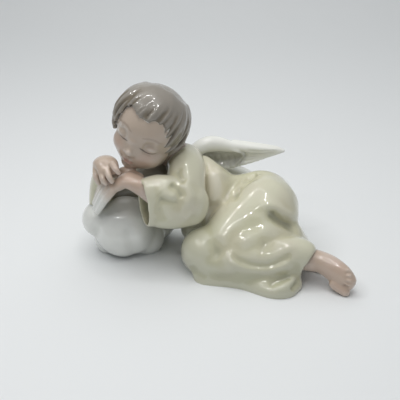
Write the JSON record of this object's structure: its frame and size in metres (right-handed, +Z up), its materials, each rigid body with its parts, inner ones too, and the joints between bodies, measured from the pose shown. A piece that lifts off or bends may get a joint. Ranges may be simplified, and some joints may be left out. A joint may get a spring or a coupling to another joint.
{
  "type": "sleeping angel figurine",
  "caption": "Glazed porcelain figurine of a winged child asleep on its side in a long robe, with its head on its hands over a small cloud; it stands on its flat underside.",
  "frame": {"origin": "on the surface that the figure stands on, under the middle of its length and depth", "axes": "+X from the head to the feet, -Y is the side that the figure faces, +Z up"},
  "size_m": [0.1488, 0.09, 0.1004],
  "materials": {
    "glazed_porcelain": "gloss"
  },
  "bodies": {
    "root": {"sleeping_angel": "glazed_porcelain"}
  },
  "joints": []
}
